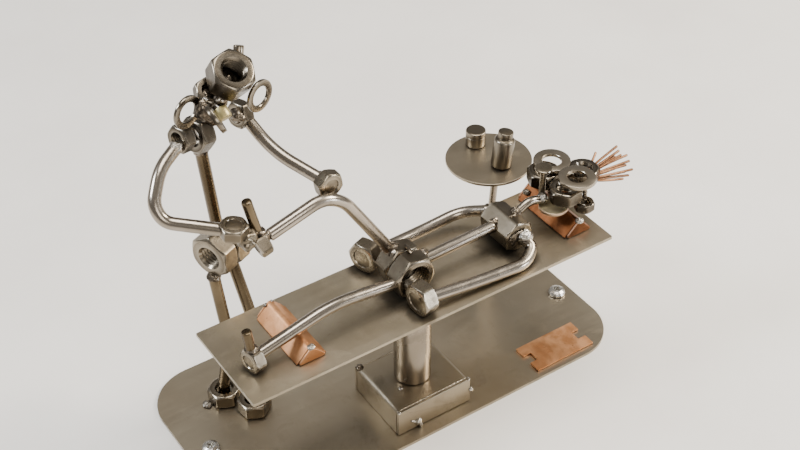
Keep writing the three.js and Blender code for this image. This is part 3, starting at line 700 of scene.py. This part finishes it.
rod("therapist_torso_rod", GROUND_AT, [(-61, 48.1, 86), (-66.6, 43.7, 134)],
    tint=0.45, finish=BROWNED_ROD)
rod("therapist_arm_right", GROUND_AT,
    [(-78.5, 38.2, 141.5), (-88, 33, 139), (-95.5, 25, 131), (-94, 21, 125), (-76.6, 9, 121.7)])
rod("therapist_arm_left", GROUND_AT,
    [(-49, 48.4, 137.6), (-45, 49, 137), (-41, 34, 127), (-31.8, 14.2, 122)], tint=0.35)

low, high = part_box("tray_stem")
stem_lean = math.tan(math.radians(4)) * (high.z - low.z)
foot = Vector(((low.x + high.x) / 2 - stem_lean / 2, (low.y + high.y) / 2, low.z))
tip = foot + Vector((stem_lean, 0, high.z - low.z))
rod("tray_stem", foot, [(0, 0, 0.15), tuple((tip - foot) / MM)], 3.4, 1, heat_reach=8)


# ---------------------------------------------------------------- the hair
def wire(name, start, end, diameter, bow, finish, stands_for=None):
    """A soft wire that bows away from the straight line."""
    across = (end - start).orthogonal().normalized()
    across = Matrix.Rotation(bow[1], 3, (end - start).normalized()) @ across
    rise = start.lerp(end, 0.35) + across * bow[0] * MM
    fall = start.lerp(end, 0.7) + across * bow[0] * 0.7 * MM
    route = smooth_route([start, rise, fall, end], 0.004, 0.0006)
    sections = tube_mesh(route, diameter / 2 * MM, 10, wobble=0.04, rounding=0.5)
    return piece(name, flat(sections), rings(sections, True), finish, stands_for, 50)


HAIR_TIPS = [
    (13.2, 4.4, 5.3), (14.3, 4.0, 2.6), (17.1, 1.4, 0.6), (17.4, -0.2, -1.8), (16.5, -3.7, -4.0),
    (14.9, -3.3, -6.9), (11.0, -4.0, -6.8), (3.3, 7.2, 4.2), (13.8, 1.8, 1.8), (15.0, 0.4, -3.3),
    (13.6, -2.2, -1.3), (12.1, 3.7, 0.4), (13.9, -1.8, -5.4),
]
hair_root = TABLE_AT + Vector((96.8, -0.6, 16.6)) * MM
# the strands start spread over the face of the crown nut, not from a single point
for k, end in enumerate(HAIR_TIPS):
    start = hair_root + Vector((-5.5, 0.3 * end[1], 0.32 * end[2])) * MM
    bow = (0.5 * math.sin(2.3 * k + 0.4), 1.7 * k)
    wire(f"patient_hair_{k + 1:02d}", start, hair_root + Vector(end) * 0.97 * MM, 1.1, bow, HAIR_COPPER,
         "patient_hair_tuft" if k == 0 else None)


# ---------------------------------------------------------------- the welds
def bead(name, centre, size, finish, seed, direction=UP, lump=0.22):
    """A frozen puddle of weld: a low mound with ripples and small craters."""
    bm = bmesh.new()
    bmesh.ops.create_icosphere(bm, subdivisions=4, radius=1.0)
    shift = Vector((seed * 3.7, seed * 1.3, seed * 5.1))
    place = aimed(direction, 40 * seed, centre)
    for v in bm.verts:
        out = v.co.normalized()
        swell = 1 + lump * noise.noise(out * 1.7 + shift) + 0.4 * lump * noise.noise(out * 4.5 + shift)
        ripple = 0.03 * math.sin(14 * out.x + 3 * noise.noise(out * 3 + shift))
        local = Vector((out.x * size[0], out.y * size[1], out.z * size[2])) * (swell + ripple) / 2
        v.co = place @ (local * MM)
    mesh = bpy.data.meshes.new(name)
    bm.to_mesh(mesh)
    bm.free()
    mesh.shade_smooth()
    obj = bpy.data.objects.new(name, mesh)
    bpy.context.scene.collection.objects.link(obj)
    obj.data.materials.append(finish)
    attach(obj, "root")


def weld_run(name, origin, points, diameter, finish, seed):
    """A drawn bead: overlapping ripples along a line."""
    route = smooth_route([origin + Vector(p) * MM for p in points], 0.003, 0.00035)
    sections = tube_mesh(route, diameter / 2 * MM, 20, wobble=0.3, rounding=0.6)
    for i, ring in enumerate(sections):
        centre = sum(ring, Vector()) / len(ring)
        swell = 1 + 0.13 * math.sin(i * 1.15 + seed) + 0.2 * noise.noise(centre * 420)
        sections[i] = [centre + (v - centre) * swell for v in ring]
    return piece(name, flat(sections), rings(sections, True), finish, None, 70)


B, T = TABLE_AT, GROUND_AT
BEADS = [
    # name, frame, centre, size, bright (None: ground smooth), direction. The four *_bore_shade rows are
    # not welds: they are dark fillers deep in a nut's bore, painted shade in an open hole, and the CAD has none
    # there.
    ("hip_to_raised_leg", B, (-6.6, 5.6, 17.6), (6.6, 6.4, 4.0), False, (-0.5, 0, 1)),
    ("hip_leg_tack", B, (-7.6, 2.4, 18.4), (2.4, 2.0, 1.6), True, UP),
    ("hip_seam", B, (-2.0, 0.2, 18.9), (6.0, 1.8, 1.2), False, UP),
    ("hip_to_straight_leg", B, (-11.2, -5.0, 10.0), (3.2, 7.0, 6.6), False, (-1, 0, 0.2)),
    ("hip_to_torso", B, (4.6, 0.2, 11.8), (3.4, 6.6, 6.4), False, (1, 0, 0.2)),
    ("torso_to_chest", B, (41.6, 0.8, 10.4), (3.0, 6.4, 6.2), False, (-1, 0, 0.2)),
    ("chest_to_near_arm", B, (49.6, -10.2, 8.2), (6.6, 7.0, 5.4), True, (0.2, -1, 0.3)),
    ("chest_near_end", B, (46.6, -8.6, 7.2), (8.6, 9.0, 2.2), False, (0, -1, 0)),
    ("chest_to_far_arm", B, (45.6, 11.0, 9.8), (5.8, 4.0, 6.0), False, (0, 1, 0.3)),
    ("chest_to_neck", B, (52.6, 1.0, 12.2), (5.0, 5.6, 4.8), False, (0.8, 0, 0.5)),
    ("neck_to_head", B, (66.4, 0.8, 14.0), (4.6, 5.4, 4.6), True, (1, 0, 0)),
    ("near_arm_to_hand", B, (-3.4, -15.3, 5.0), (2.8, 6.2, 6.0), False, (1, 0.1, 0)),
    ("far_arm_to_hand", B, (-7.4, 18.6, 6.1), (2.8, 6.2, 6.0), False, (1, 0.3, 0)),
    ("straight_leg_to_foot", B, (-75.2, -7.1, 6.6), (2.4, 6.0, 5.8), True, (1, 0.2, 0)),
    ("raised_leg_to_foot", B, (-61.0, 6.0, 48.4), (2.6, 6.0, 6.0), False, (1, 0, 0.3)),
    ("straight_toe", B, (-77.7, -6.9, 10.6), (5.4, 5.2, 2.6), False, UP),
    ("raised_toe", B, (-64.0, 6.2, 52.4), (5.6, 5.4, 2.6), False, UP),
    ("raised_foot_to_hand", T, (-69.2, 5.2, 117.4), (10.5, 7.4, 7.0), None, (-0.7, 0, 1)),
    ("chest_mark", B, (48.2, -2.2, 14.7), (4.4, 1.4, 0.9), False, UP),
    ("knee_roll_front", B, (-56.5, -14.6, 6.5), (3.4, 3.0, 1.4), True, UP),
    ("knee_roll_back_a", B, (-58.8, 16.6, 5.4), (2.2, 1.8, 1.2), True, (-1, 1, 1)),
    ("knee_roll_back_b", B, (-55.4, 17.0, 5.4), (2.6, 1.8, 1.2), True, (1, 1, 1)),
    ("pillow_front", B, (75.7, -13.6, 7.2), (3.6, 3.2, 2.2), True, UP),
    ("pillow_back", B, (71.4, 17.0, 4.8), (3.6, 2.8, 1.6), False, (-1, 0, 1)),
    ("table_tack", B, (-4.6, -12.6, 0.5), (4.2, 2.4, 1.4), True, UP),
    ("therapist_foot_tack", T, (-77, 44.2, 0.6), (4.6, 4.0, 1.8), True, UP),
    ("therapist_hip_right_leg", T, (-66.8, 44.6, 69.2), (5.8, 6.2, 4.0), False, UP),
    ("therapist_hip_left_leg", T, (-56.4, 49.4, 71.4), (5.8, 6.2, 4.2), False, UP),
    ("therapist_hip_to_torso", T, (-61.0, 48.0, 87.8), (6.4, 6.2, 4.2), True, UP),
    ("therapist_torso_to_chest", T, (-66.6, 43.7, 132.6), (6.4, 6.4, 4.2), False, UP),
    ("therapist_right_arm_start", T, (-78.6, 38.4, 141.6), (4.4, 6.4, 6.2), True, (-1, -0.4, 0)),
    ("therapist_right_arm_hand", T, (-76.4, 9.0, 121.8), (3.6, 6.0, 5.8), True, (-1, 0.8, 0)),
    ("therapist_left_arm_start", T, (-48.2, 47.0, 139.2), (6.8, 6.0, 4.6), False, (0.3, 0, 1)),
    ("therapist_left_arm_hand", T, (-31.8, 14.4, 122.2), (6.0, 3.0, 5.8), True, (0.3, -1, 0)),
    ("therapist_neck", T, (-62.0, 41.0, 148.4), (7.0, 6.4, 8.6), False, UP),
    ("therapist_brow", T, (-59.4, 36.4, 156.4), (6.0, 5.0, 5.0), False, FACE),
    ("therapist_head_bore_shade", T, (-54.8, 39.0, 161.8), (9.2, 9.2, 4.0), False, HEAD_AXIS),
    ("therapist_cheek_bore_shade", T, (-62.0, 42.4, 156.6), (6.0, 6.0, 3.6), False, HEAD_AXIS),
    ("therapist_cheek_lump", T, (-67.2, 36.0, 154.6), (6.4, 6.0, 8.6), False, UP),
    ("therapist_cheek_light", T, (-65.4, 36.8, 158.6), (2.2, 2.0, 2.2), True, FACE),
    ("hip_bore_shade", B, (-3.5, 3.2, 9.7), (11.4, 11.4, 7.0), False, ACROSS),
    ("therapist_hip_bore_shade", T, (-58.2, 49.5, 78.5), (9.2, 9.2, 7.0), False, SIDEWAYS),
    ("tube_foot_left", T, (-9.6, -5.2, 13.5), (2.2, 2.0, 1.4), True, UP),
    ("pedestal_star", T, (-8.5, -17.3, 3.4), (3.4, 3.0, 2.0), True, (0, -1, 0)),
    ("pedestal_star_left", T, (-10.6, -17.2, 4.4), (4.4, 1.3, 1.1), True, (0, -1, 0)),
    ("pedestal_star_foot", T, (-7.6, -17.5, 1.5), (1.6, 3.4, 1.3), True, (0, -1, 0.3)),
    ("pedestal_top_left", T, (-17.8, -16.4, 13.2), (1.8, 1.6, 1.0), True, UP),
    ("pedestal_top_right", T, (17.8, -16.4, 13.2), (2.0, 1.8, 1.2), True, UP),
    ("tube_foot_right", T, (7.4, 3.0, 14.2), (2.8, 2.4, 1.8), True, UP),
    ("pedestal_corner", T, (-17.0, 15.4, 13.2), (3.6, 3.4, 2.4), False, UP),
    ("pedestal_tack_right", T, (18.8, -16.8, 6.8), (2.2, 2.6, 2.4), True, (1, -1, 1)),
    ("tray_foot", Vector((foot.x, foot.y, GROUND_AT.z)), (0.6, 0, 0.7), (6.4, 6.2, 2.4), False, UP),
]
for seed, (name, origin, centre, size, bright, direction) in enumerate(BEADS):
    finish = {True: BRIGHT_WELD, False: DARK_WELD, None: NUT_STEEL}[bright]
    bead(f"weld_{name}", origin + Vector(centre) * MM, size, finish, seed, direction)


weld_run("weld_lens_strut", B, [(81.4, -9.4, 12.8), (81.8, -8.4, 21.8)], 1.9, DARK_WELD, 5)
for side, y in (("front", -15.35), ("back", 15.35)):
    weld_run(f"weld_pedestal_{side}", T, [(-17.2, y, 13.15), (17.2, y, 13.15)], 0.75, SHEET_STEEL, 3)


# ---------------------------------------------------------------- the room
def room():
    bm = bmesh.new()
    bmesh.ops.create_grid(bm, x_segments=24, y_segments=24, size=3.0)
    mesh = bpy.data.meshes.new("floor")
    bm.to_mesh(mesh)
    bm.free()
    obj = bpy.data.objects.new("floor", mesh)
    obj.data.materials.append(pale_floor("pale_floor"))
    bpy.context.scene.collection.objects.link(obj)
    world = bpy.data.worlds.new("soft_room")
    world.use_nodes = True
    world.node_tree.nodes["Background"].inputs["Color"].default_value = (1.0, 0.965, 0.91, 1)
    world.node_tree.nodes["Background"].inputs["Strength"].default_value = 0.32
    bpy.context.scene.world = world


def lamp(name, place, target, size, power, colour=(1, 1, 1)):
    data = bpy.data.lights.new(name, "AREA")
    data.shape, data.size, data.energy, data.color = "DISK", size, power, colour
    obj = bpy.data.objects.new(name, data)
    bpy.context.scene.collection.objects.link(obj)
    obj.location = place
    obj.rotation_euler = (Vector(target) - Vector(place)).to_track_quat("-Z", "Y").to_euler()


def camera():
    yaw, pitch, roll = (math.radians(a) for a in (33.767, 39.104, -0.274))
    ahead = Vector((math.sin(yaw) * math.cos(pitch), math.cos(yaw) * math.cos(pitch), -math.sin(pitch)))
    right = Vector((math.cos(yaw), -math.sin(yaw), 0))
    up = right.cross(ahead)
    right, up = (right * math.cos(roll) + up * math.sin(roll), up * math.cos(roll) - right * math.sin(roll))
    data = bpy.data.cameras.new("camera")
    data.lens, data.sensor_width, data.clip_start = 61.94, 36, 0.01
    obj = bpy.data.objects.new("camera", data)
    obj.matrix_world = Matrix.Translation((-0.239085, -0.368653, 0.43726)) @ Matrix(
        (right, up, -ahead)).transposed().to_4x4()
    bpy.context.scene.collection.objects.link(obj)
    bpy.context.scene.camera = obj


room()
camera()
lamp("window_left", (-0.7, 0.35, 0.75), (0, 0, 0.06), 0.35, 9, (0.86, 0.92, 1.0))
lamp("window_right", (0.75, -0.25, 0.7), (0, 0, 0.06), 0.4, 14, (1.0, 0.93, 0.82))
lamp("window_low", (0.56, -0.68, 0.22), (-0.05, -0.03, 0.07), 0.22, 2.6, (0.88, 0.93, 1.0))
lamp("ceiling", (0.1, 0.1, 1.3), (0, 0, 0.05), 0.8, 14, (1.0, 0.96, 0.90))
lamp("front", (-0.2, -0.9, 0.6), (0, 0, 0.07), 0.5, 3, (1.0, 0.95, 0.88))
